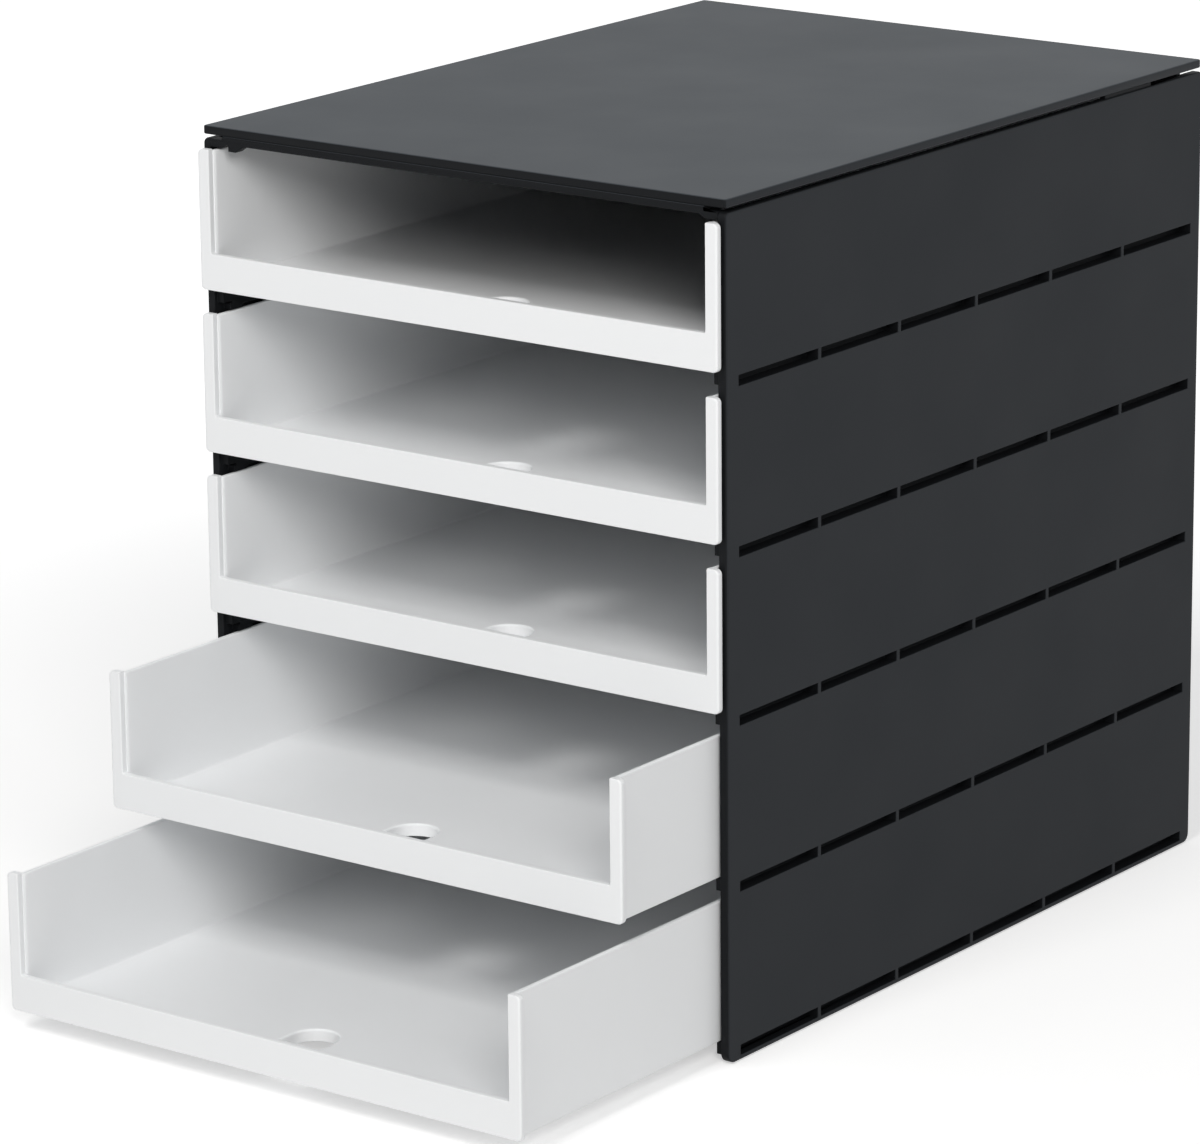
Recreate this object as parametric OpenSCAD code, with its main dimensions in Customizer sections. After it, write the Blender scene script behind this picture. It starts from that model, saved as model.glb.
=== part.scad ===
/* [Casing] */
// Width over the two side panels
case_w = 246; // [236:1:300]
// Depth of the side panels, front to back
case_d = 330; // [325:1:400]
// Height from one drawer level to the next
tier_pitch = 64.5; // [58:0.5:90]
// Side panel rise above the last drawer level
panel_top_rise = 2.5; // [2.2:0.1:6]
// Side panel thickness
panel_t = 3.7; // [3:0.1:5]
// Radius of the side panel's outer upright edges
panel_edge_r = 1.0; // [0.5:0.1:1.4]
// Radius of the side panel's lower corners, seen from the side
panel_foot_r = 4.0; // [1:0.5:6]
// Radius of the side panel's upper corners, seen from the side
panel_top_r = 2.0; // [1:0.5:2]

/* [Runner rails] */
// Height of a rail's top above its level
ledge_top = 7.6; // [7.2:0.1:9]
// Thickness of the rail's top, over its slots
ledge_t = 1.9; // [1.5:0.1:2.2]
// Rail's reach inwards from the side panel
ledge_reach = 3.1; // [2.6:0.1:3.5]
// Rail's start behind the casing's front
ledge_front = 1.6; // [0.5:0.1:4]
// Height of the solid nose at a rail's front end
ledge_nose_h = 5.0; // [3:0.1:5.9]
// Thickness of the rail's lower web and of its front end
rail_web = 1.2; // [0.8:0.1:1.2]
// Thickness of the rail's inner wall, behind its slots
rail_skin = 1.2; // [0.8:0.1:1.6]
// Slots in the side panel's outer face, along each rail
window_count = 6; // [2:1:8]
// Height of a slot
window_h = 4.1; // [2:0.1:4.2]
// First slot's start behind the casing's front
window_front = 7.8; // [6:0.1:20]
// Last slot's end before the casing's back
window_back = 7.2; // [6.5:0.1:20]
// Rib between two slots
window_rib = 2.0; // [1:0.1:5]
// Keeper nub's start behind the casing's front
nub_front = 5.5; // [5.5:0.1:12]
// Keeper nub's length
nub_len = 7.8; // [4:0.1:20]
// Keeper nub's height
nub_h = 2.6; // [2:0.1:3]
// Keeper nub's lower face below the next drawer level
nub_drop = 1.0; // [0.6:0.1:1.2]

/* [Top cover and front rail] */
// Top cover thickness
cover_t = 3.4; // [2.5:0.1:6]
// Shadow gap between side panels and top cover
cover_gap = 1.6; // [1:0.1:2.5]
// Top cover's set-back from the casing's back
cover_back = 1.2; // [0:0.1:3]
// Radius of the top cover's corners, seen from above
cover_corner_r = 1.2; // [0.5:0.1:3]
// Cover skirt's inset from the casing's sides
skirt_inset = 9.7; // [8:0.1:12]
// Cover skirt thickness
skirt_t = 1.8; // [1:0.1:3]
// Cover skirt's height below the cover
skirt_h = 3.0; // [2:0.1:3]
// Cover skirt's end before the casing's back
skirt_back = 4.6; // [4.2:0.1:30]
// Front rail's height at mid-width
rail_h = 3.1; // [2.8:0.1:3.2]
// Front rail's width, front to back
rail_w = 5.0; // [4.5:0.1:5.2]
// Drop of the front rail's ends below its middle
rail_end_drop = 1.5; // [0.8:0.1:1.6]
// Width of the slope at the front rail's ends
rail_slope_w = 2.2; // [1:0.1:4]
// Width of the front rail's hanging lug, at the rail
lug_w = 7.4; // [5:0.1:10]
// Width of the lug at its lower end
lug_tip_w = 3.6; // [2:0.1:5]
// Depth of the lug, front to back
lug_d = 4.4; // [2:0.1:4.5]
// Lug's drop below the front rail
lug_drop = 2.6; // [1:0.1:3]
// Lug's distance from the casing's left side
lug_inset = 12.4; // [12:0.1:30]
// Length of the latch tab on each side panel's upper edge
tab_len = 34; // [15:1:60]
// Latch tab's end before the casing's back
tab_back = 38; // [25:1:80]

/* [Rear panel and base] */
// Rear panel thickness
rear_t = 2.4; // [1.5:0.1:4]
// Rear panel's inset from the casing's back
rear_inset = 1.4; // [1:0.1:4]
// Height of the notch in each upper corner of the rear panel
rear_notch_h = 6; // [3:0.5:20]
// Height of the groove ribs that hold the rear panel
groove_rib_h = 1.0; // [0.6:0.1:1.0]
// Thickness of the groove ribs
groove_rib_t = 1.0; // [0.6:0.1:1.0]
// Base plate thickness
base_t = 1.5; // [1.3:0.1:1.5]
// Base plate's inset from the casing's front
base_front = 32; // [28:0.5:45]
// Base plate's stiffening ribs
base_rib_count = 4; // [2:1:6]
// Height of the stiffening ribs
base_rib_h = 3.6; // [2:0.1:4.4]
// Thickness of the stiffening ribs
base_rib_t = 1.6; // [1:0.1:3]
// Foot pad radius
foot_r = 7; // [4:0.5:12]
// Foot pad thickness
foot_t = 1.5; // [1.2:0.1:2.5]
// Depth of the foot pad's seat in the base plate
foot_seat = 0.9; // [0.5:0.1:0.9]
// Foot pad's centre inside the casing's sides and back
foot_inset = 22; // [20:1:40]
// Front foot pad's centre behind the base plate's front edge
foot_front = 14; // [13:0.5:30]

/* [Drawers] */
// Drawer wall thickness
wall_t = 2.0; // [1.2:0.1:2.5]
// Side gap between drawer wall and side panel
side_gap = 1.3; // [1.3:0.1:1.6]
// Floor thickness
floor_t = 2.0; // [1.2:0.1:3]
// Height of the floor's top above the walls' lower edge
floor_rise = 5.1; // [4:0.1:8]
// Front frame thickness
front_t = 2.9; // [2:0.1:5]
// Gap between front frame and casing
front_gap = 1.6; // [0.3:0.1:3]
// Front frame's reach past the drawer's side wall
frame_past = 4.2; // [2.5:0.1:5]
// Front frame's step back from the drawer's inner wall
frame_step = 0.8; // [0.3:0.1:1.1]
// Front frame's lower edge above the walls' lower edge
frame_sill = 0.65; // [0.2:0.05:2]
// Front frame's rise above the walls' upper edge
frame_crown = 0.5; // [0.1:0.05:1.5]
// Radius of the front frame's outer corners
frame_corner_r = 2.0; // [0.8:0.1:3]
// Height of the front lip
lip_h = 14.4; // [8:0.1:25]
// Rear wall's drop below the side walls
rear_wall_drop = 3; // [1:0.5:20]
// Drawer's rear wall before the rear panel
drawer_room = 4; // [1.5:0.5:20]
// Length of a stop ear
ear_len = 6; // [3:0.5:15]
// Stop ear's front face before the drawer's rear
ear_back = 36; // [20:0.5:90]
// Stop ear's clearance under the next level's rail
ear_gap = 0.4; // [0.3:0.1:0.6]
// Radius of the finger slot
slot_r = 9.5; // [6:0.5:14]
// Finger slot's far end behind the front frame's face
slot_reach = 42; // [36:0.5:70]
// Thickness of the collar round the finger slot
collar_t = 1.6; // [1:0.1:3]
// How far drawer 4, second from the bottom, stands open
pull_4 = 60.5; // [0:0.5:180]
// How far drawer 5, the lowest, stands open
pull_5 = 122; // [0:0.5:180]

/* [Clearances] */
// Running clearance of a drawer on its ledges and under its nubs
run_gap = 0.3; // [0.2:0.05:0.5]
// Clearance between fixed pieces that slot together
fit_gap = 0.15; // [0.1:0.05:0.2]

/* [Hidden] */
$fn = 48;

casing_grey = [0.2, 0.21, 0.22];
cover_grey = [0.36, 0.37, 0.38];
pad_black = [0.06, 0.06, 0.06];
drawer_white = [0.9, 0.9, 0.89];

// Overlap of shapes that are joined, and overshoot of cuts
eps = 0.01;

// Heights of the casing
tier_count = 5;
top_level = tier_count * tier_pitch;
panel_h = top_level + panel_top_rise;
cover_z = panel_h + cover_gap;
foot_drop = foot_t - foot_seat;

// Half-widths, from the outside in
half_w = case_w / 2;
panel_in = half_w - panel_t;
wall_out = panel_in - side_gap;
wall_in = wall_out - wall_t;
frame_out = wall_out + frame_past;
frame_in = wall_in + frame_step;
ledge_in = panel_in - ledge_reach;
skirt_out = half_w - skirt_inset;

// Heights inside one level
window_z = ledge_top - ledge_t - window_h;
rail_foot = window_z - rail_web;
wall_z = ledge_top + run_gap;
wall_top = tier_pitch - nub_drop - run_gap;
floor_top = wall_z + floor_rise;
frame_z = wall_z + frame_sill;
frame_top = wall_top + frame_crown;
ear_top = tier_pitch + rail_foot - ear_gap;

// Depths of the casing
front_y = -case_d / 2;
back_y = case_d / 2;
window_run = case_d - window_front - window_back;
window_len = (window_run - (window_count - 1) * window_rib) / window_count;
rear_y = back_y - rear_inset - rear_t;
groove_y = rear_y - fit_gap - groove_rib_t;
nub_y = front_y + nub_front;
tab_y = back_y - tab_back - tab_len;
foot_x = half_w - foot_inset;
base_y = front_y + base_front;
foot_ends = [base_y + foot_front, back_y - foot_inset];

// Depths of a closed drawer
frame_back = front_y - front_gap;
frame_face = frame_back - front_t;
drawer_back = rear_y - drawer_room;
ear_y = drawer_back - ear_back;
slot_near = frame_back + collar_t + slot_r;
slot_far = frame_face + slot_reach - slot_r;

// The frame's origin is the middle of the whole part's footprint
front_reach = max(pull_4, pull_5) + front_gap + front_t;
mid_shift = front_reach / 2;

// Moves a piece from the casing's middle to the frame's origin
module in_frame() {
    translate([0, mid_shift, foot_drop]) children();
}

// A box between two corners
module box(low, high) {
    translate(low) cube(high - low);
}

// The shape and its mirror image in the middle plane
module both_sides() {
    children();
    mirror([1, 0, 0]) children();
}

// An outline drawn in X and Z, carried back from y
module along_y(y, depth) {
    translate([0, y + depth, 0]) rotate([90, 0, 0]) linear_extrude(depth) children();
}

// An outline drawn in Y and Z, carried right from x
module along_x(x, width) {
    translate([x, 0, 0]) rotate([90, 0, 90]) linear_extrude(width) children();
}

// Rounds one corner of an outline: the corner's place, its inward signs and radius
module corner_cut(place, inward, r) {
    difference() {
        translate(place - eps * inward) scale_signs(inward) square(r + eps);
        translate(place + r * inward) circle(r);
    }
}

// Turns a square so that it grows along the given signs
module scale_signs(signs) {
    mirror([signs.x < 0 ? 1 : 0, 0]) mirror([0, signs.y < 0 ? 1 : 0]) children();
}

// A rectangle with radius r_low at its lower corners and r_high at its upper ones
module soft_rect(low, high, r_low, r_high) {
    difference() {
        translate(low) square(high - low);
        corner_cut(low, [1, 1], r_low);
        corner_cut([high.x, low.y], [-1, 1], r_low);
        corner_cut(high, [-1, -1], r_high);
        corner_cut([low.x, high.y], [1, -1], r_high);
    }
}

// Start of a slot, counted from the front
function window_y(i) = front_y + window_front + i * (window_len + window_rib);

// Plain right-hand slab with rounded outer edges and corners
module panel_slab() {
    intersection() {
        linear_extrude(panel_h) difference() {
            translate([panel_in, front_y]) square([panel_t, case_d]);
            corner_cut([half_w, front_y], [-1, 1], panel_edge_r);
            corner_cut([half_w, back_y], [-1, -1], panel_edge_r);
        }
        along_x(panel_in, panel_t)
            soft_rect([front_y, 0], [back_y, panel_h], panel_foot_r, panel_top_r);
    }
}

// One right-hand rail, a box open to the outside, with a solid nose in front
module rail(level) {
    z = level * tier_pitch;
    ledge_y = front_y + ledge_front;
    box(
        [ledge_in, window_y(0) - rail_web, z + rail_foot],
        [panel_in + eps, groove_y + eps, z + ledge_top]
    );
    box(
        [ledge_in, ledge_y, z + ledge_top - ledge_nose_h],
        [panel_in + eps, window_y(0), z + ledge_top]
    );
}

// The slots of one level, cut into the rail from the outside
module slots(level) {
    z = level * tier_pitch + window_z;
    for (i = [0:window_count - 1])
        box(
            [ledge_in + rail_skin, window_y(i), z],
            [half_w + eps, window_y(i) + window_len, z + window_h]
        );
}

// Nub that keeps the drawer below it level and catches its stop ear
module nub(level) {
    z = (level + 1) * tier_pitch - nub_drop;
    box([ledge_in, nub_y, z], [panel_in + eps, nub_y + nub_len, z + nub_h]);
}

// Upright ribs before and behind the rear panel's edge
module groove_ribs() {
    low = base_t + fit_gap;
    high = panel_h - panel_top_r;
    rib_in = panel_in - groove_rib_h;
    behind = back_y - rear_inset + fit_gap;
    box([rib_in, groove_y, low], [panel_in + eps, groove_y + groove_rib_t, high]);
    box([rib_in, behind, low], [panel_in + eps, back_y - fit_gap, high]);
}

module side_panel() {
    difference() {
        union() {
            panel_slab();
            for (level = [0:tier_count - 1]) {
                rail(level);
                nub(level);
            }
            groove_ribs();
            box([panel_in, tab_y, panel_h - eps], [half_w - panel_edge_r, tab_y + tab_len, cover_z]);
        }
        for (level = [0:tier_count - 1]) slots(level);
    }
}

module right_side_panel() {
    in_frame() color(casing_grey) side_panel();
}

module left_side_panel() {
    in_frame() color(casing_grey) mirror([1, 0, 0]) side_panel();
}

// Plate with a skirt along its sides and back
module top_cover() {
    skirt_y = front_y + rail_w;
    skirt_end = back_y - skirt_back;
    skirt_z = cover_z - skirt_h;
    in_frame() color(cover_grey) union() {
        translate([0, 0, cover_z]) linear_extrude(cover_t)
            soft_rect(
                [-half_w, front_y], [half_w, back_y - cover_back], cover_corner_r, cover_corner_r
            );
        both_sides()
            box([skirt_out - skirt_t, skirt_y, skirt_z], [skirt_out, skirt_end, cover_z + eps]);
        box(
            [-skirt_out, skirt_end - skirt_t, skirt_z],
            [skirt_out, skirt_end, cover_z + eps]
        );
    }
}

// Rail between the side panels, under the cover's front edge
module front_cross_rail() {
    rail_z = cover_z - rail_h;
    end_z = rail_z - rail_end_drop;
    slope_x = skirt_out - rail_slope_w;
    lug_x = -half_w + lug_inset;
    in_frame() color(casing_grey) union() {
        along_y(front_y, rail_w) both_sides() polygon([
            [-eps, cover_z], [skirt_out, cover_z], [skirt_out, panel_h], [panel_in, panel_h],
            [panel_in, end_z], [skirt_out, end_z], [slope_x, rail_z], [-eps, rail_z]
        ]);
        translate([lug_x, 0, rail_z]) along_y(front_y, lug_d) polygon([
            [0, eps], [0, -lug_drop], [lug_tip_w, -lug_drop], [lug_w, 0], [lug_w, eps]
        ]);
    }
}

// Back of the casing, standing on the base plate in its grooves, notched beside the cover's skirt
module rear_panel() {
    edge = panel_in - fit_gap;
    notch_z = cover_z - rear_notch_h;
    in_frame() color(casing_grey) along_y(rear_y, rear_t) polygon([
        [-edge, base_t], [edge, base_t], [edge, notch_z], [skirt_out, notch_z],
        [skirt_out, cover_z], [-skirt_out, cover_z], [-skirt_out, notch_z], [-edge, notch_z]
    ]);
}

// Where the four foot pads sit
module at_feet() {
    for (x = [-foot_x, foot_x], y = foot_ends) translate([x, y, 0]) children();
}

// Bottom tie between the lowest rails of both side panels
module base_plate() {
    base_end = back_y - rear_inset;
    edge = ledge_in;
    rib_step = 2 * edge / (base_rib_count + 1);
    in_frame() color(casing_grey) difference() {
        union() {
            box([-edge, base_y, 0], [edge, base_end, base_t]);
            for (i = [1:base_rib_count]) {
                x = -edge + i * rib_step - base_rib_t / 2;
                box(
                    [x, base_y, base_t - eps],
                    [x + base_rib_t, rear_y - fit_gap, base_t + base_rib_h]
                );
            }
        }
        at_feet() translate([0, 0, -eps]) cylinder(r = foot_r + fit_gap, h = foot_seat + eps);
    }
}

// One pad in its seat, on the given side at the given depth
module foot_pad(side, y) {
    in_frame() color(pad_black)
        translate([side * foot_x, y, -foot_drop]) cylinder(r = foot_r, h = foot_t);
}

module foot_pad_front_left() {
    foot_pad(-1, foot_ends[0]);
}

module foot_pad_front_right() {
    foot_pad(1, foot_ends[0]);
}

module foot_pad_rear_left() {
    foot_pad(-1, foot_ends[1]);
}

module foot_pad_rear_right() {
    foot_pad(1, foot_ends[1]);
}

// A slot's outline: two round ends joined by a rectangle
module slot_outline(r) {
    translate([0, slot_near]) circle(r);
    translate([0, slot_far]) circle(r);
    translate([-r, slot_near]) square([2 * r, slot_far - slot_near]);
}

// Frame round the drawer's open front, with the lip along its foot
module front_frame() {
    along_y(frame_face, front_t) difference() {
        soft_rect([-frame_out, frame_z], [frame_out, frame_top], frame_corner_r, frame_corner_r);
        translate([-frame_in, frame_z + lip_h]) square([2 * frame_in, frame_top]);
    }
}

// One drawer, shut, on the lowest level
module tray() {
    difference() {
        union() {
            front_frame();
            both_sides() {
                box([wall_in, frame_back - eps, wall_z], [wall_out, drawer_back, wall_top]);
                box([wall_in, ear_y, wall_top - eps], [wall_out, ear_y + ear_len, ear_top]);
            }
            box(
                [-wall_in - eps, frame_back - eps, floor_top - floor_t],
                [wall_in + eps, drawer_back, floor_top]
            );
            box(
                [-wall_in - eps, drawer_back - wall_t, wall_z],
                [wall_in + eps, drawer_back, wall_top - rear_wall_drop]
            );
            translate([0, 0, wall_z]) linear_extrude(floor_rise) slot_outline(slot_r + collar_t);
        }
        translate([0, 0, wall_z - eps]) linear_extrude(floor_rise + 2 * eps) slot_outline(slot_r);
    }
}

// A drawer on its level, counted from the bottom, and pulled out so far
module drawer(level, pull) {
    in_frame() color(drawer_white) translate([0, -pull, level * tier_pitch]) tray();
}

module drawer_1() {
    drawer(4, 0);
}

module drawer_2() {
    drawer(3, 0);
}

module drawer_3() {
    drawer(2, 0);
}

module drawer_4() {
    drawer(1, pull_4);
}

module drawer_5() {
    drawer(0, pull_5);
}

left_side_panel();
right_side_panel();
top_cover();
front_cross_rail();
rear_panel();
base_plate();
foot_pad_front_left();
foot_pad_front_right();
foot_pad_rear_left();
foot_pad_rear_right();
drawer_1();
drawer_2();
drawer_3();
drawer_4();
drawer_5();
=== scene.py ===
import math

import bmesh
import bpy
import numpy as np
from mathutils import Matrix, Vector


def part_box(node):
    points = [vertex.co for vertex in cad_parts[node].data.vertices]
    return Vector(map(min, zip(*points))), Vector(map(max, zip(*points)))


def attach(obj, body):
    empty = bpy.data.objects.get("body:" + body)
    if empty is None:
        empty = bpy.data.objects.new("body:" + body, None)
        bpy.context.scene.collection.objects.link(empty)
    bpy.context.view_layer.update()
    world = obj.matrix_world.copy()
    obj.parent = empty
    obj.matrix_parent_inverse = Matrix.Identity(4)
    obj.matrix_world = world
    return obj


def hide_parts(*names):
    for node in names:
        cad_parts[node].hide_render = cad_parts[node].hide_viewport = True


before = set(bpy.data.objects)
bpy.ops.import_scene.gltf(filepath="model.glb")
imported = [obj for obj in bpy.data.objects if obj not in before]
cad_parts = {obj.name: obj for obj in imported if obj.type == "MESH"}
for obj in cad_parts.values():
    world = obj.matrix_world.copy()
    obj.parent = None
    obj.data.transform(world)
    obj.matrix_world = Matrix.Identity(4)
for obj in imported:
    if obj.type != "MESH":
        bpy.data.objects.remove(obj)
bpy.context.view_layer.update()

# The side walls.
# Dark grey injection-moulded slabs, each with five box rails for the drawers on its inner face.
# The rails are open to the outside, where six slots in a row show them. Both walls stand upright
# between base and cover, and a latch tab on the upper edge holds the cover.
mm = 0.001
wall_low, wall_high = (np.array(c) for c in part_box("right_side_panel"))
tier_pitch = 64.5 * mm
tiers = np.arange(5)
slab_t = 3.7 * mm
slab_h = 325 * mm
rail_reach = 3.1 * mm
rail_top = 7.6 * mm
rail_head = 1.9 * mm
rail_web = 1.2 * mm
nose_start = 1.6 * mm
nose_h = 5.0 * mm
slot_h = 4.1 * mm
slot_first = 7.8 * mm
slot_last = 7.2 * mm
slot_rib = 2.0 * mm
slots_in_row = 6
nub_start = 5.5 * mm
nub_len = 7.8 * mm
nub_drop = 1.0 * mm
nub_h = 2.6 * mm
groove_rib = 1.0 * mm
rear_panel_t = 2.4 * mm
rear_inset = 1.4 * mm
seat_gap = 0.15 * mm
tab_len = 34 * mm
tab_back = 38 * mm
foot_corner_r = 4.0 * mm
top_corner_r = 2.0 * mm
upright_edge_r = 1.0 * mm
small_edge_r = 0.3 * mm
groove_edge_r = 0.1 * mm
cut_over = 1.0 * mm
touch = 0.001 * mm


def cells_shell(solid, cut):
    """Surface of boxes joined, less other boxes.

    All box faces together cut space into a grid of cells. A cell is filled where its middle lies
    in a solid box and in no cut box, and the surface is every wall between a filled and an empty
    cell. Returns points and quads, facing outwards.
    """
    solid, cut = np.asarray(solid, float), np.asarray(cut, float).reshape(-1, 2, 3)
    planes = [np.unique(np.round(np.concatenate([solid, cut])[:, :, a], 7)) for a in range(3)]
    middles = [(p[1:] + p[:-1]) / 2 for p in planes]

    def covered(boxes):
        inside = [
            (m[None] > boxes[:, :1, a]) & (m[None] < boxes[:, 1:, a]) for a, m in enumerate(middles)
        ]
        return np.einsum("bi,bj,bk->ijk", *[i.astype(int) for i in inside]) > 0

    filled = np.pad(covered(solid) & ~covered(cut), 1)
    corners = np.array([[0, 0], [1, 0], [1, 1], [0, 1]])
    quads = []
    for axis in range(3):
        change = np.diff(filled.astype(int), axis=axis)
        for turn, flip in ((-1, 1), (1, -1)):
            cell = np.argwhere(change == turn)
            if axis == 0:
                cell = cell - [0, 1, 1]
            elif axis == 1:
                cell = cell - [1, 0, 1]
            else:
                cell = cell - [1, 1, 0]
            quad = np.repeat(cell[:, None], 4, axis=1)
            quad[:, :, (axis + 1) % 3] += corners[:, 0]
            quad[:, :, (axis + 2) % 3] += corners[:, 1]
            quads.append(quad[:, ::flip])
    quads = np.concatenate(quads)
    used, index = np.unique(quads.reshape(-1, 3), axis=0, return_inverse=True)
    points = np.stack([planes[a][used[:, a]] for a in range(3)], axis=1)
    return points, index.reshape(-1, 4)


def new_piece(name, points, faces):
    """Mesh object from points and faces, at the origin."""
    mesh = bpy.data.meshes.new(name)
    mesh.from_pydata([tuple(p) for p in points], [], [tuple(f) for f in faces])
    mesh.update()
    piece = bpy.data.objects.new(name, mesh)
    bpy.context.scene.collection.objects.link(piece)
    return piece


def clean_mesh(piece, join_flat=False, flat_angle=math.radians(1)):
    """Merges points that coincide, and on demand neighbouring faces that lie in one plane."""
    bm = bmesh.new()
    bm.from_mesh(piece.data)
    bmesh.ops.remove_doubles(bm, verts=bm.verts, dist=touch)
    if join_flat:
        bmesh.ops.dissolve_limit(bm, angle_limit=flat_angle, verts=bm.verts, edges=bm.edges)
    bm.to_mesh(piece.data)
    bm.free()


def round_edges(piece, radius_of, widest, steps, flat_sum=1.99):
    """Rounds each sharp edge by radius_of(edge middles), up to the widest radius.

    The unit normals of the two faces beside an edge add up to a length of 2 where both lie in
    one plane, so an edge with more than flat_sum is inside a flat face and keeps no radius.
    """
    mesh = piece.data
    ends = np.empty(len(mesh.edges) * 2, int)
    mesh.edges.foreach_get("vertices", ends)
    places = np.empty(len(mesh.vertices) * 3)
    mesh.vertices.foreach_get("co", places)
    middles = places.reshape(-1, 3)[ends.reshape(-1, 2)].mean(axis=1)
    weight = radius_of(middles) / widest
    normal = np.empty(len(mesh.polygons) * 3)
    mesh.polygons.foreach_get("normal", normal)
    normal = normal.reshape(-1, 3)
    loop_edge = np.empty(len(mesh.loops), int)
    mesh.loops.foreach_get("edge_index", loop_edge)
    sizes = np.empty(len(mesh.polygons), int)
    mesh.polygons.foreach_get("loop_total", sizes)
    face_of_loop = np.repeat(np.arange(len(sizes)), sizes)
    total = np.zeros((len(mesh.edges), 3))
    np.add.at(total, loop_edge, normal[face_of_loop])
    weight[np.linalg.norm(total, axis=1) > flat_sum] = 0
    layer = mesh.attributes.new("bevel_weight_edge", "FLOAT", "EDGE")
    layer.data.foreach_set("value", weight)
    mesh.polygons.foreach_set("use_smooth", np.ones(len(mesh.polygons), bool))
    bevel = piece.modifiers.new("rounded edges", "BEVEL")
    bevel.limit_method = "WEIGHT"
    bevel.width = widest
    bevel.segments = steps
    bevel.use_clamp_overlap = False
    bevel.harden_normals = True


def cut_arcs(piece, corners, steps=10):
    """Turns each edge that passes through a corner place (y, z) into an arc of its radius."""
    bm = bmesh.new()
    bm.from_mesh(piece.data)
    for y, z, radius in corners:
        edges = [
            e for e in bm.edges
            if all(abs(v.co.y - y) < touch and abs(v.co.z - z) < touch for v in e.verts)
        ]
        bmesh.ops.bevel(
            bm, geom=edges, offset=radius, offset_type="OFFSET", segments=steps, profile=0.5,
            affect="EDGES", clamp_overlap=False,
        )
    bmesh.ops.remove_doubles(bm, verts=bm.verts, dist=touch)
    bm.to_mesh(piece.data)
    bm.free()


def side_wall(name, side):
    """One wall: slab, rails, nubs, grooves and tab as boxes, less the slots, mirrored by side."""
    outer = wall_high[0]
    inner = outer - slab_t
    rail_in = inner - rail_reach
    front, back, foot = wall_low[1], wall_high[1], wall_low[2]
    top = foot + slab_h
    slot_z = rail_top - rail_head - slot_h
    slot_y = front + slot_first
    nub_y = front + nub_start
    groove = back - rear_inset - rear_panel_t - seat_gap - groove_rib
    solid = [[[inner, front, foot], [outer, back, top]]]
    for level in foot + tiers * tier_pitch:
        rail_z = level + rail_top
        nub_z = level + tier_pitch - nub_drop
        solid += [
            [[rail_in, slot_y - rail_web, level + slot_z - rail_web], [inner, groove, rail_z]],
            [[rail_in, front + nose_start, rail_z - nose_h], [inner, slot_y, rail_z]],
            [[rail_in, nub_y, nub_z], [inner, nub_y + nub_len, nub_z + nub_h]],
        ]
    for y in (groove, back - rear_inset + seat_gap):
        solid.append(
            [
                [inner - groove_rib, y, foot + foot_corner_r],
                [inner, min(y + groove_rib, back - seat_gap), top - top_corner_r],
            ]
        )
    tab_y = back - tab_back - tab_len
    tab_outer = outer - upright_edge_r
    solid.append([[inner, tab_y, top], [tab_outer, tab_y + tab_len, wall_high[2]]])
    run = back - slot_last - slot_y + slot_rib
    starts = slot_y + np.arange(slots_in_row) * run / slots_in_row
    length = run / slots_in_row - slot_rib
    cut = [
        [
            [rail_in + rail_web, y, level + slot_z],
            [outer + cut_over, y + length, level + slot_z + slot_h],
        ]
        for level in foot + tiers * tier_pitch
        for y in starts
    ]
    piece = new_piece(name, *cells_shell(solid, cut))
    clean_mesh(piece, join_flat=True)
    low_corners = [(front, foot, foot_corner_r), (back, foot, foot_corner_r)]
    cut_arcs(piece, low_corners + [(front, top, top_corner_r), (back, top, top_corner_r)])
    if side < 0:
        piece.data.transform(Matrix.Scale(-1, 4, (1, 0, 0)))
        piece.data.flip_normals()

    def radius_of(middle):
        # the outer edge is soft at the ends and the top and runs out along the foot corners
        outer_edge = np.abs(np.abs(middle[:, 0]) - outer) < touch
        to_end = np.minimum(middle[:, 1] - front, back - middle[:, 1])
        at_rim = (to_end < foot_corner_r) | (middle[:, 2] > top - top_corner_r)
        up = np.clip((middle[:, 2] - foot) / foot_corner_r, 0, 1)
        slot_edge = (to_end > slot_last - cut_over) & (middle[:, 2] < top - top_corner_r)
        soft = small_edge_r + (upright_edge_r - small_edge_r) * up
        by_groove = (middle[:, 1] > back - tab_back) & ~outer_edge
        rim_edge = outer_edge & at_rim & ~slot_edge
        return np.select([rim_edge, by_groove], [soft, groove_edge_r], small_edge_r)

    round_edges(piece, radius_of, upright_edge_r, steps=4)
    return piece


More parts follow.
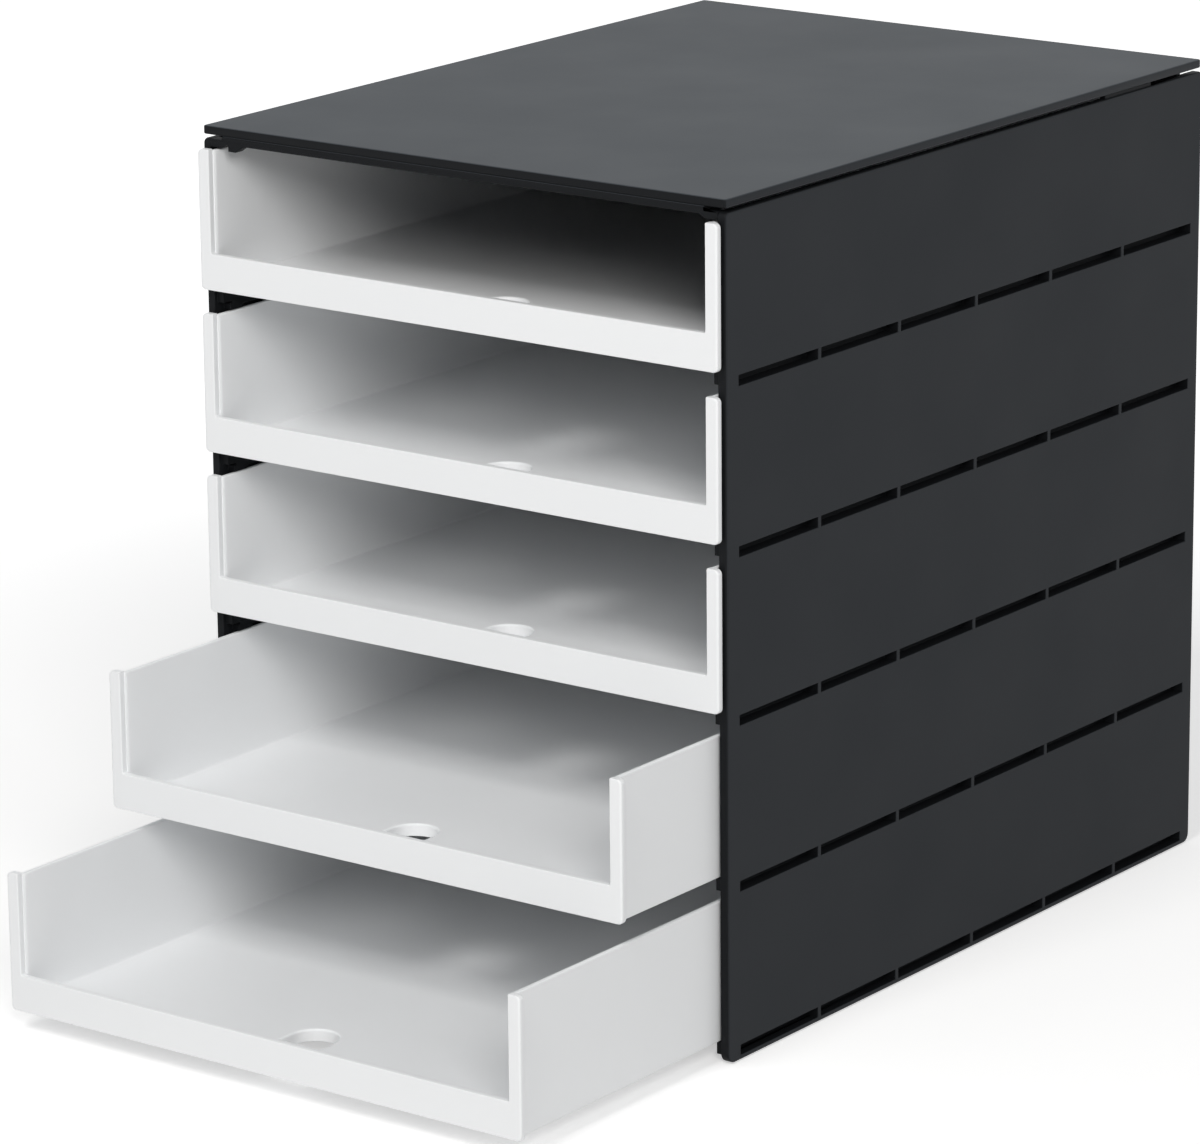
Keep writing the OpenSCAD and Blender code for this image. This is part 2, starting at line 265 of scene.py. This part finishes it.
def grain_group():
    """Shared moulding grain: a height for the bump, and a slow cloud for tone and gloss.

    The height is fine noise with a second, finer octave over it. The cloud is noise some
    centimetres wide, spread between 0 and 1.
    """
    group = bpy.data.node_groups.new("moulding grain", "ShaderNodeTree")
    face = group.interface
    face.new_socket("Grains per metre", in_out="INPUT", socket_type="NodeSocketFloat")
    face.new_socket("Clouds per metre", in_out="INPUT", socket_type="NodeSocketFloat")
    face.new_socket("Height", in_out="OUTPUT", socket_type="NodeSocketFloat")
    face.new_socket("Cloud", in_out="OUTPUT", socket_type="NodeSocketFloat")
    nodes, links = group.nodes, group.links
    source = nodes.new("NodeGroupInput")
    result = nodes.new("NodeGroupOutput")
    place = nodes.new("ShaderNodeTexCoord")
    fine = nodes.new("ShaderNodeTexNoise")
    fine.inputs["Detail"].default_value = 3
    fine.inputs["Roughness"].default_value = 0.65
    cloud = nodes.new("ShaderNodeTexNoise")
    cloud.inputs["Detail"].default_value = 4
    cloud.inputs["Roughness"].default_value = 0.55
    spread = nodes.new("ShaderNodeMapRange")
    spread.inputs["From Min"].default_value = 0.3
    spread.inputs["From Max"].default_value = 0.7
    for noise, name in ((fine, "Grains per metre"), (cloud, "Clouds per metre")):
        links.new(place.outputs["Object"], noise.inputs["Vector"])
        links.new(source.outputs[name], noise.inputs["Scale"])
    links.new(cloud.outputs["Fac"], spread.inputs["Value"])
    links.new(fine.outputs["Fac"], result.inputs["Height"])
    links.new(spread.outputs["Result"], result.inputs["Cloud"])
    return group


moulding_grain = grain_group()


def shade_and_reflection_group():
    """Shared masks for the painted shade and reflection: 1 on both sides and the back, or on top,
    else 0.

    A place lies on a side where its distance from the middle plane passes the half width, on the
    back where its Y passes the back, and on top where its height passes the top.
    """
    group = bpy.data.node_groups.new("shade and reflection masks", "ShaderNodeTree")
    face = group.interface
    limits = ("Half width", "Back", "Top")
    for limit in limits:
        face.new_socket(limit, in_out="INPUT", socket_type="NodeSocketFloat")
    face.new_socket("Side mask", in_out="OUTPUT", socket_type="NodeSocketFloat")
    face.new_socket("Top mask", in_out="OUTPUT", socket_type="NodeSocketFloat")
    nodes, links = group.nodes, group.links
    source = nodes.new("NodeGroupInput")
    result = nodes.new("NodeGroupOutput")
    place = nodes.new("ShaderNodeTexCoord")
    parts = nodes.new("ShaderNodeSeparateXYZ")
    off_middle = nodes.new("ShaderNodeMath")
    off_middle.operation = "ABSOLUTE"
    links.new(place.outputs["Object"], parts.inputs["Vector"])
    links.new(parts.outputs["X"], off_middle.inputs[0])
    either = nodes.new("ShaderNodeMath")
    either.operation = "MAXIMUM"
    values = (off_middle.outputs[0], parts.outputs["Y"], parts.outputs["Z"])
    masks = (either.inputs[0], either.inputs[1], result.inputs["Top mask"])
    for value, limit, mask in zip(values, limits, masks):
        past = nodes.new("ShaderNodeMath")
        past.operation = "GREATER_THAN"
        links.new(value, past.inputs[0])
        links.new(source.outputs[limit], past.inputs[1])
        links.new(past.outputs[0], mask)
    links.new(either.outputs[0], result.inputs["Side mask"])
    return group


shade_and_reflection_masks = shade_and_reflection_group()
painted_face_margin = 0.25 * mm


def paint_shade_and_reflection(material, tones, corner):
    """Paints the sides and back, and the top, over a material's first colour, which is darker than
    the plastic.

    tones holds the two colours and corner the box's far corner, which bounds the painted faces. The
    first colour stays on all other faces as painted shade: fronts, edges, inner faces and slots.
    """
    nodes, links = material.node_tree.nodes, material.node_tree.links
    shader = nodes["Principled BSDF"]
    masks_node = nodes.new("ShaderNodeGroup")
    masks_node.node_tree = shade_and_reflection_masks
    for limit, end in zip(("Half width", "Back", "Top"), corner):
        masks_node.inputs[limit].default_value = end - painted_face_margin
    colour = shader.inputs["Base Color"].links[0].from_socket
    for mask, tone in zip(("Side mask", "Top mask"), tones):
        paint = nodes.new("ShaderNodeMix")
        paint.data_type = "RGBA"
        paint.inputs["B"].default_value = (*tone, 1)
        links.new(masks_node.outputs[mask], paint.inputs["Factor"])
        links.new(colour, paint.inputs["A"])
        colour = paint.outputs["Result"]
    links.new(colour, shader.inputs["Base Color"])


def moulded_plastic(name, low, high, rough, shine, grains, grain_depth, clouds=18):
    """Moulded plastic: colour and roughness drift between two ends with the cloud, over grain.

    low and high are the two colours, rough the two roughness values and shine the strength of
    the mirrored light. grains is how many of them lie in a metre, grain_depth how high they are.
    """
    material = bpy.data.materials.new(name)
    material.use_nodes = True
    nodes, links = material.node_tree.nodes, material.node_tree.links
    shader = nodes["Principled BSDF"]
    shader.inputs["Specular IOR Level"].default_value = shine
    grain = nodes.new("ShaderNodeGroup")
    grain.node_tree = moulding_grain
    grain.inputs["Grains per metre"].default_value = grains
    grain.inputs["Clouds per metre"].default_value = clouds
    tone = nodes.new("ShaderNodeMix")
    tone.data_type = "RGBA"
    tone.inputs["A"].default_value = (*low, 1)
    tone.inputs["B"].default_value = (*high, 1)
    gloss = nodes.new("ShaderNodeMapRange")
    gloss.inputs["To Min"].default_value = rough[0]
    gloss.inputs["To Max"].default_value = rough[1]
    bump = nodes.new("ShaderNodeBump")
    bump.inputs["Strength"].default_value = 1
    bump.inputs["Distance"].default_value = grain_depth
    links.new(grain.outputs["Cloud"], tone.inputs["Factor"])
    links.new(grain.outputs["Cloud"], gloss.inputs["Value"])
    links.new(grain.outputs["Height"], bump.inputs["Height"])
    links.new(tone.outputs["Result"], shader.inputs["Base Color"])
    links.new(gloss.outputs["Result"], shader.inputs["Roughness"])
    links.new(bump.outputs["Normal"], shader.inputs["Normal"])
    return material


# The casing plastic is one colour. The darker first colour here is painted shade on the front
# faces, edges, inner faces and slots.
casing_plastic = moulded_plastic(
    "dark grey casing plastic", (0.0080, 0.0088, 0.0100), (0.0100, 0.0108, 0.0122),
    rough=(0.46, 0.54), shine=0.075, grains=2600, grain_depth=0.004 * mm,
)
# The plastic's own tone, painted on the outer sides and back.
side_tone = (0.0255, 0.0282, 0.0320)
paint_shade_and_reflection(casing_plastic, (side_tone, side_tone), wall_high)

for name, node, side in (
    ("side_wall_right", "right_side_panel", 1),
    ("side_wall_left", "left_side_panel", -1),
):
    wall = side_wall(name, side)
    wall.data.materials.append(casing_plastic)
    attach(wall, "casing")
    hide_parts(node)

# The front rail.
# A narrow dark moulding between the walls, under the cover's front edge. It ties the walls and
# carries the cover; one small lug hangs from its left end.
rail_low, rail_high = (np.array(c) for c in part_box("front_cross_rail"))
rail_mid_h = 3.1 * mm
rail_end_drop = 1.5 * mm
rail_shoulder = 1.6 * mm
rail_slope = 2.2 * mm
rail_block = 113.3 * mm
lug_left = 110.6 * mm
lug_w = 7.4 * mm
lug_tip_w = 3.6 * mm
lug_d = 4.4 * mm
lug_drop = 2.6 * mm
lug_root = 0.5 * mm
rail_edge_r = 0.25 * mm


def rounded_outline(corners, radii, steps=6):
    """Closed outline with an arc in each corner.

    A corner's arc starts and ends where a circle of its radius touches both sides, at radius
    times the tangent of half the turn from the corner. Returns points and outward normals of an
    outline whose corners run anticlockwise.
    """
    corners = np.asarray(corners, float)
    radii = np.broadcast_to(np.asarray(radii, float), len(corners))
    ahead = np.roll(corners, -1, axis=0) - corners
    ahead /= np.linalg.norm(ahead, axis=1)[:, None]
    before = np.roll(ahead, 1, axis=0)
    turn = np.arctan2(
        before[:, 0] * ahead[:, 1] - before[:, 1] * ahead[:, 0], (before * ahead).sum(axis=1)
    )
    cut = radii * np.tan(np.abs(turn) / 2)
    side = np.sign(turn)[:, None] * np.stack([-before[:, 1], before[:, 0]], axis=1)
    centre = corners - before * cut[:, None] + side * radii[:, None]
    swing = np.linspace(0, 1, steps + 1)[None] * turn[:, None]
    arm = -side[:, None] * radii[:, None, None]
    cos, sin = np.cos(swing)[..., None], np.sin(swing)[..., None]
    across = np.stack([-arm[..., 1], arm[..., 0]], axis=-1)
    points = centre[:, None] + arm * cos + across * sin
    heading = before[:, None] * cos + np.stack([-before[:, 1], before[:, 0]], axis=1)[:, None] * sin
    normals = np.stack([heading[..., 1], -heading[..., 0]], axis=-1)
    return points.reshape(-1, 2), normals.reshape(-1, 2)


def edge_profile(depth, radius, steps=4):
    """Profile of a plate's edge: inset and height, from the lower face round to the upper one.

    Both edges are quarter circles of the radius. One more ring inside each face keeps it flat
    in the light.
    """
    inner = 1.3 * radius
    angle = np.linspace(0, np.pi / 2, steps + 1)
    inset = radius * (1 - np.sin(angle))
    height = radius * (1 - np.cos(angle))
    inset = np.concatenate([[inner], inset, inset[::-1], [inner]])
    height = np.concatenate([[0], height, depth - height[::-1], [depth]])
    return inset, height


def stacked_rings(rings, closed=False):
    """Quads between neighbouring rings of one grid, with a cap on both ends unless closed."""
    count, size = rings.shape[:2]
    index = np.arange(count * size).reshape(count, size)
    if closed:
        index = np.concatenate([index, index[:1]])
    around = np.roll(index, -1, axis=1)
    quads = np.stack([index[:-1], around[:-1], around[1:], index[1:]], axis=-1).reshape(-1, 4)
    faces = quads.tolist()
    if not closed:
        faces += [index[0][::-1].tolist(), index[-1].tolist()]
    return rings.reshape(-1, 3), faces


def plate(outline, normals, low, depth, radius, order, spread=1):
    """Outline carried through the depth, drawn in by the edge profile at both faces.

    The inset of each outline point is multiplied by its spread.
    """
    inset, height = edge_profile(depth, radius)
    push = normals * np.broadcast_to(spread, len(outline))[:, None]
    flat = outline[None] - push[None] * inset[:, None, None]
    level = np.broadcast_to((low + height)[:, None, None], flat.shape[:2] + (1,))
    return stacked_rings(np.concatenate([flat, level], axis=-1)[..., order])


def join_shells(*shells):
    """Several sets of points and faces as one."""
    points, faces, start = [], [], 0
    for p, f in shells:
        points.append(p)
        faces += [[i + start for i in face] for face in f]
        start += len(p)
    return np.concatenate(points), faces


def smooth_faces(piece, angle=35):
    """Smooth light across rounded edges, and a sharp break where faces turn by more."""
    mesh = piece.data
    mesh.polygons.foreach_set("use_smooth", np.ones(len(mesh.polygons), bool))
    mesh.set_sharp_from_angle(angle=math.radians(angle))


def front_rail():
    """The rail's outline in X and Z carried back along Y, with the slanted lug below it."""
    end, top = rail_high[0], rail_high[2]
    under = top - rail_mid_h
    right = [
        (rail_block - rail_slope, under), (rail_block, under - rail_end_drop),
        (end, under - rail_end_drop), (end, top - rail_shoulder),
        (rail_block, top - rail_shoulder), (rail_block, top),
    ]
    left = [(-x, z) for x, z in right[::-1]]
    lug_end, root = lug_w - lug_left, under + lug_root
    lug = [
        (-lug_left, under - lug_drop), (lug_tip_w - lug_left, under - lug_drop),
        (lug_end, under), (lug_end, root), (-lug_left, root),
    ]
    shells = []
    for corners, rear in ((right + left, rail_high[1]), (lug, rail_low[1] + lug_d)):
        outline, normals = rounded_outline(corners, rail_edge_r, 3)
        # seen along -Y the outline runs anticlockwise, so its depth is counted back from the rear
        shell = plate(outline, normals, -rear, rear - rail_low[1], rail_edge_r, [0, 2, 1])
        shell[0][:, 1] *= -1
        shells.append(shell)
    return join_shells(*shells)


rail = new_piece("front_rail", *front_rail())
smooth_faces(rail)
# The whole rail keeps the casing's darker first colour: painted shade under the cover's front edge.
rail.data.materials.append(casing_plastic)
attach(rail, "casing")
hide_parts("front_cross_rail")

# The cover.
# A flat dark grey plate that lies on the front rail and the walls' latch tabs. A skirt is moulded
# below it, set in from the sides and the back, so a narrow shadow gap runs round the casing.
cover_low, cover_high = (np.array(c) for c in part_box("top_cover"))
plate_t = 3.4 * mm
plate_corner_r = 1.2 * mm
plate_edge_r = 0.6 * mm
skirt_side = 113.3 * mm
skirt_t = 1.8 * mm
skirt_back = 4.6 * mm
skirt_front = 5 * mm
skirt_edge_r = 0.3 * mm
skirt_root = 0.5 * mm


def cover():
    """Rounded plate over a three-sided skirt."""
    (x0, y0, z0), (x1, y1, z1) = cover_low, cover_high
    outline, normals = rounded_outline([(x0, y0), (x1, y0), (x1, y1), (x0, y1)], plate_corner_r)
    top = plate(outline, normals, z1 - plate_t, plate_t, plate_edge_r, [0, 1, 2])
    front, back = y0 + skirt_front, wall_high[1] - skirt_back
    inner = skirt_side - skirt_t
    corners = [
        (-skirt_side, front), (-inner, front), (-inner, back - skirt_t), (inner, back - skirt_t),
        (inner, front), (skirt_side, front), (skirt_side, back), (-skirt_side, back),
    ]
    skirt_h = z1 - plate_t - z0 + skirt_root
    outline, normals = rounded_outline(corners, skirt_edge_r, 3)
    skirt = plate(outline, normals, z0, skirt_h, skirt_edge_r, [0, 1, 2])
    return join_shells(top, skirt)


# The cover's first colour is painted shade on its front edge, inner faces and skirt; its sides
# carry the plastic's own tone.
cover_plastic = moulded_plastic(
    "dark grey cover plastic", (0.0080, 0.0088, 0.0100), (0.0100, 0.0108, 0.0122),
    rough=(0.44, 0.48), shine=0.075, grains=2600, grain_depth=0.004 * mm,
)
# Painted reflection: the top is made lighter to stand for the bright surroundings mirrored at the
# low view.
top_reflection_tone = (0.0465, 0.0530, 0.0600)
paint_shade_and_reflection(cover_plastic, (side_tone, top_reflection_tone), cover_high)
cover_piece = new_piece("cover_plate", *cover())
smooth_faces(cover_piece)
cover_piece.data.materials.append(cover_plastic)
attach(cover_piece, "casing")
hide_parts("top_cover")

# The rear panel, the base plate and the foot pads.
# Plain dark sheets that close the casing behind and below, and four rubber pads pressed into
# round seats in the base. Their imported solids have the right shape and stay.
panel_plastic = moulded_plastic(
    "dark grey panel plastic", (0.0238, 0.0264, 0.0300), (0.0272, 0.0300, 0.0340),
    rough=(0.46, 0.56), shine=0.075, grains=2600, grain_depth=0.004 * mm,
)
pad_rubber = moulded_plastic(
    "black pad rubber", (0.012, 0.012, 0.012), (0.022, 0.022, 0.021),
    rough=(0.78, 0.92), shine=0.4, grains=1800, grain_depth=0.05 * mm,
)
for node, material in (
    ("rear_panel", panel_plastic), ("base_plate", panel_plastic),
    ("foot_pad_front_left", pad_rubber), ("foot_pad_front_right", pad_rubber),
    ("foot_pad_rear_left", pad_rubber), ("foot_pad_rear_right", pad_rubber),
):
    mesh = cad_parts[node].data
    mesh.materials.clear()
    mesh.materials.append(material)

# The five drawers.
# White satin trays moulded in one piece. Thin side walls run on the rails, the floor has a finger
# slot with a collar under it, and a flat frame stands round the open front, with a low lip.
# Stop ears near the rear ends of the walls meet the nubs on the casing.
wall_t = 2.0 * mm
wall_out = 118.0 * mm
wall_h = 55.3 * mm
floor_t = 2.0 * mm
floor_rise = 5.1 * mm
frame_t = 2.9 * mm
frame_out = 122.2 * mm
frame_opening = 116.8 * mm
frame_sill = 0.65 * mm
frame_crown = 0.5 * mm
frame_corner_r = 2.0 * mm
frame_inner_r = 0.8 * mm
frame_tip_r = 0.4 * mm
frame_edge_r = 0.6 * mm
frame_edge_in = 0.45
frame_edge_out = 1.5
lip_h = 14.4 * mm
finger_slot_r = 9.5 * mm
finger_slot_reach = 42 * mm
collar_t = 1.6 * mm
ear_len = 6 * mm
ear_back = 36 * mm
ear_h = 1.3 * mm
rear_drop = 3 * mm
rim_r = 0.6 * mm
floor_fillet = 0.8 * mm
wall_flare = 0.5 * mm
wall_flare_len = 1.5 * mm
wall_foot_r = 0.5 * mm
slot_edge_r = 0.8 * mm
rear_corner_r = 3.0 * mm
front_corner_r = 0.6 * mm
least_corner_r = 0.05 * mm
tray_start = 0.5 * mm
frame_lap = 0.3 * mm


def half_ring(half, y0, y1, corner_front, corner_rear, stations, across=8, around=7):
    """Right half of a ring seen from above: front, corner, side stations, corner, rear."""
    quarter = np.linspace(0, np.pi / 2, around)
    front = np.stack(
        [np.linspace(0, half - corner_front, across), np.full(across, y0)], axis=1
    )
    turn = corner_front * np.stack([np.sin(quarter), -np.cos(quarter)], axis=1)
    front_arc = turn + [half - corner_front, y0 + corner_front]
    stations = np.clip(stations, y0 + corner_front, y1 - corner_rear)
    side = np.stack([np.full(len(stations), half), stations], axis=1)
    turn = corner_rear * np.stack([np.cos(quarter), np.sin(quarter)], axis=1)
    rear_arc = turn + [half - corner_rear, y1 - corner_rear]
    rear = np.stack([np.linspace(half - corner_rear, 0, across), np.full(across, y1)], axis=1)
    return np.concatenate([front[:-1], front_arc, side, rear_arc, rear[1:]])


def ring(*sizes):
    """Whole ring: the right half, then its mirror image back to the start."""
    right = half_ring(*sizes)
    return np.concatenate([right, (right * [-1, 1])[-2:0:-1]])


def tray_shell(face, rear, foot):
    """The tray as one closed surface without ends, wound round the finger slot.

    Rings follow each other up the slot, over the floor, up the inner walls, over the rim, down
    the outer walls and back under the floor to the collar. Along a ring the rim's height drops
    at the front, inside the frame, and at the rear wall, and rises at the stop ears. The rim
    changes height within two nicks, or along rear_run before the rear wall. A ring laid beside
    each rounded edge, at one, two or three holds, keeps the face there flat in the light.
    """
    hold, nick, rear_run = 0.1 * mm, 0.05 * mm, 1.5 * mm
    hidden = face + frame_t - frame_lap
    drop_at = face + frame_t - frame_lap / 2
    rim_hidden = foot + frame_sill + lip_h - 1.5 * mm
    sill_hidden = foot + frame_sill + 0.4 * mm
    ear = rear - ear_back
    side_end = rear - rear_corner_r - rear_run
    stations = np.array(
        [
            drop_at - nick, drop_at + nick, drop_at + 0.3 * wall_flare_len,
            drop_at + 0.6 * wall_flare_len, drop_at + wall_flare_len, face + 20 * mm,
            ear - 30 * mm, ear - nick, ear + nick,
            ear + ear_len - nick, ear + ear_len + nick, side_end - rear_run, side_end,
        ]
    )
    top, floor = foot + wall_h, foot + floor_rise

    def rim(y):
        return np.select(
            [y < drop_at, (y > ear) & (y < ear + ear_len), y > side_end - hold],
            [rim_hidden, top + ear_h, top - rear_drop],
            top,
        )

    def sill(y):
        return np.where(y < drop_at, sill_hidden, foot)

    slot_y0 = face + frame_t + collar_t
    slot_y1 = face + finger_slot_reach

    def slot_ring(grow, z):
        r = finger_slot_r + grow
        y0, y1 = slot_y0 - grow, slot_y1 + grow
        flat = ring(r, y0, y1, r, r, np.linspace(y0 + r, y1 - r, len(stations)))
        return np.column_stack([flat, np.full(len(flat), z)])

    def wall_ring(inset, height):
        half = wall_out - inset
        outer_front = face + tray_start
        y0 = outer_front + (hidden - outer_front) * inset / wall_t
        y1 = rear - inset
        corner = front_corner_r * max(0, 1 - inset / wall_t) + least_corner_r
        flat = ring(half, y0, y1, corner, rear_corner_r - 0.5 * inset, stations)
        z = height(flat[:, 1]) if callable(height) else np.full(len(flat), height)
        near = np.clip((drop_at + wall_flare_len - flat[:, 1]) / wall_flare_len, 0, 1)
        at_side = np.abs(flat[:, 0]) > half - 10 * hold
        flare = wall_flare * near**2 * min(1, inset / wall_t) * at_side
        flat[:, 0] += np.sign(flat[:, 0]) * flare
        return np.column_stack([flat, z])

    quarter = np.linspace(0, np.pi / 2, 5)
    bends = list(zip(np.cos(quarter), np.sin(quarter)))
    foot_r, slot_r, fillet, under = wall_foot_r, slot_edge_r, floor_fillet, floor - floor_t
    # up the finger slot and over the floor
    rings = [slot_ring(foot_r * (1 - s), foot + foot_r * (1 - c)) for c, s in bends]
    rings += [slot_ring(0, floor - slot_r - hold)]
    rings += [slot_ring(slot_r * (1 - c), floor - slot_r * (1 - s)) for c, s in bends]
    rings += [slot_ring(slot_r + 2 * hold, floor), wall_ring(wall_t + fillet + 3 * hold, floor)]
    # up the inner walls
    rings += [wall_ring(wall_t + fillet * (1 - s), floor + fillet * (1 - c)) for c, s in bends]
    rings += [wall_ring(wall_t, floor + fillet + 2 * hold)]
    rings += [wall_ring(wall_t, lambda y: rim(y) - rim_r - 2 * hold)]
    # over the rim
    for c, s in bends:
        rings += [wall_ring(wall_t - rim_r * (1 - c), lambda y, s=s: rim(y) - rim_r * (1 - s))]
    for c, s in bends[::-1]:
        rings += [wall_ring(rim_r * (1 - c), lambda y, s=s: rim(y) - rim_r * (1 - s))]
    rings += [wall_ring(0, lambda y: rim(y) - rim_r - 2 * hold)]
    # down the outer walls and round their foot
    rings += [wall_ring(0, lambda y: sill(y) + foot_r + 2 * hold)]
    for c, s in bends:
        rings += [wall_ring(foot_r * (1 - c), lambda y, s=s: sill(y) + foot_r * (1 - s))]
    for c, s in bends[::-1]:
        rings += [wall_ring(wall_t - foot_r * (1 - c), lambda y, s=s: sill(y) + foot_r * (1 - s))]
    # under the floor to the collar and down its outside
    rings += [wall_ring(wall_t, under - hold), wall_ring(wall_t + hold, under)]
    rings += [slot_ring(collar_t + hold, under), slot_ring(collar_t, under - hold)]
    rings += [slot_ring(collar_t, foot + foot_r + hold)]
    rings += [slot_ring(collar_t - foot_r * (1 - c), foot + foot_r * (1 - s)) for c, s in bends]
    return stacked_rings(np.stack(rings[::-1]), closed=True)


def frame_shell(face, foot):
    """The flat frame with its lip: a U-shaped outline in X and Z carried back along Y."""
    low, high = foot + frame_sill, foot + wall_h + frame_crown
    lip = low + lip_h
    corners = [
        (-frame_out, low), (frame_out, low), (frame_out, high), (frame_opening, high),
        (frame_opening, lip), (-frame_opening, lip), (-frame_opening, high), (-frame_out, high),
    ]
    inner = [frame_tip_r, frame_inner_r, frame_inner_r, frame_tip_r]
    outline, normals = rounded_outline(corners, [frame_corner_r] * 3 + inner + [frame_corner_r])
    outward = np.clip(np.sign(outline[:, 0]) * normals[:, 0], 0, 1)
    spread = frame_edge_in + (frame_edge_out - frame_edge_in) * outward
    shell = plate(outline, normals, -face - frame_t, frame_t, frame_edge_r, [0, 2, 1], spread)
    shell[0][:, 1] *= -1
    return shell


drawer_plastic = moulded_plastic(
    "white drawer plastic", (0.905, 0.917, 0.929), (0.913, 0.925, 0.937),
    rough=(0.36, 0.42), shine=0.4, grains=1400, grain_depth=0.004 * mm,
)
for number in range(1, 6):
    node = f"drawer_{number}"
    low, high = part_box(node)
    tray = tray_shell(low[1], high[1], low[2])
    piece = new_piece(f"letter_drawer_{number}", *join_shells(tray, frame_shell(low[1], low[2])))
    clean_mesh(piece)
    smooth_faces(piece)
    piece.data.materials.append(drawer_plastic)
    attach(piece, node)
    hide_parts(node)

# The studio.
# A pale floor, even white surroundings and two soft lamps, with the camera where the photograph
# was taken from.
camera_place = Vector((1337.0, -1799.75, 772.9)) * mm
turn_left = math.radians(36.837)
look_down = math.radians(15.545)
roll = math.radians(-0.557)
focal_px = 5931.4
frame_px = 1200
sensor_mm = 36
floor_half = 8
view_end = 50
glow_from = 0.35
glow_to = 1.1
glow_near = 0.45
glow_far = 0.75
floor_tone = (0.86, 0.86, 0.86)
surroundings_tone = (0.96, 0.98, 1)
surroundings_strength = 0.25
white_strength = 1.04
lamp_tone = (1, 0.985, 0.965)
lamp_size = 1.23
lamp_target = Vector((0, 0, 0.1))
side_lamp_place = Vector((2.453, -2.541, 1.978))
side_lamp_watts = 60
front_lamp_place = Vector((0.224, -2.561, 3.164))
front_lamp_watts = 51


def aim(place, azimuth, tilt, roll):
    """Camera matrix: looks left of +Y by azimuth and down by tilt, then rolls about its view."""
    forward = Vector(
        (-math.sin(azimuth) * math.cos(tilt), math.cos(azimuth) * math.cos(tilt), -math.sin(tilt))
    )
    right = forward.cross(Vector((0, 0, 1))).normalized()
    up = right.cross(forward)
    cos, sin = math.cos(roll), math.sin(roll)
    turn = Matrix((right * cos + up * sin, up * cos - right * sin, -forward)).transposed().to_4x4()
    return Matrix.Translation(place) @ turn


camera_data = bpy.data.cameras.new("camera")
camera_data.sensor_width = sensor_mm
camera_data.lens = focal_px / frame_px * sensor_mm
camera_data.clip_end = view_end
camera = bpy.data.objects.new("camera", camera_data)
camera.matrix_world = aim(camera_place, turn_left, look_down, roll)
bpy.context.scene.collection.objects.link(camera)
bpy.context.scene.camera = camera
bpy.context.scene.view_settings.view_transform = "Standard"


def background_rays(nodes, links):
    """1 for a ray straight from the camera, off a shine or through clear matter, else 0."""
    path = nodes.new("ShaderNodeLightPath")
    either = path.outputs["Is Camera Ray"]
    for kind in ("Is Glossy Ray", "Is Transmission Ray"):
        most = nodes.new("ShaderNodeMath")
        most.operation = "MAXIMUM"
        links.new(either, most.inputs[0])
        links.new(path.outputs[kind], most.inputs[1])
        either = most.outputs[0]
    return either


def pale_floor():
    """Wide floor whose own light, seen as background only, grows with distance to full white."""
    w = floor_half
    corners = [(-w, -w, 0), (w, -w, 0), (w, w, 0), (-w, w, 0)]
    floor = new_piece("floor", corners, [(0, 1, 2, 3)])
    material = bpy.data.materials.new("pale floor")
    material.use_nodes = True
    nodes, links = material.node_tree.nodes, material.node_tree.links
    shader = nodes["Principled BSDF"]
    shader.inputs["Base Color"].default_value = (*floor_tone, 1)
    shader.inputs["Roughness"].default_value = 0.9
    shader.inputs["Specular IOR Level"].default_value = 0.1
    shader.inputs["Emission Color"].default_value = (1, 1, 1, 1)
    place = nodes.new("ShaderNodeTexCoord")
    distance = nodes.new("ShaderNodeVectorMath")
    distance.operation = "LENGTH"
    glow = nodes.new("ShaderNodeMapRange")
    glow.interpolation_type = "SMOOTHSTEP"
    glow.inputs["From Min"].default_value = glow_from
    glow.inputs["From Max"].default_value = glow_to
    glow.inputs["To Min"].default_value = glow_near
    glow.inputs["To Max"].default_value = glow_far
    lift = nodes.new("ShaderNodeMath")
    lift.operation = "MULTIPLY"
    links.new(place.outputs["Object"], distance.inputs[0])
    links.new(distance.outputs["Value"], glow.inputs["Value"])
    links.new(glow.outputs["Result"], lift.inputs[0])
    links.new(background_rays(nodes, links), lift.inputs[1])
    links.new(lift.outputs[0], shader.inputs["Emission Strength"])
    floor.data.materials.append(material)


pale_floor()


def white_surroundings():
    """World light: faintly cool white at the lighting strength, and full white as background."""
    world = bpy.data.worlds.new("surroundings")
    bpy.context.scene.world = world
    world.use_nodes = True
    nodes, links = world.node_tree.nodes, world.node_tree.links
    back = nodes["Background"]
    back.inputs["Color"].default_value = (*surroundings_tone, 1)
    level = nodes.new("ShaderNodeMapRange")
    level.inputs["To Min"].default_value = surroundings_strength
    level.inputs["To Max"].default_value = white_strength
    links.new(background_rays(nodes, links), level.inputs["Value"])
    links.new(level.outputs["Result"], back.inputs["Strength"])


white_surroundings()


def soft_lamp(name, place, watts):
    """Square area lamp that points at the lower half of the casing."""
    data = bpy.data.lights.new(name, "AREA")
    data.shape = "SQUARE"
    data.size = lamp_size
    data.energy = watts
    data.color = lamp_tone
    lamp = bpy.data.objects.new(name, data)
    lamp.location = place
    lamp.rotation_euler = (lamp_target - place).to_track_quat("-Z", "Y").to_euler()
    bpy.context.scene.collection.objects.link(lamp)


soft_lamp("side_lamp", side_lamp_place, side_lamp_watts)
soft_lamp("front_lamp", front_lamp_place, front_lamp_watts)
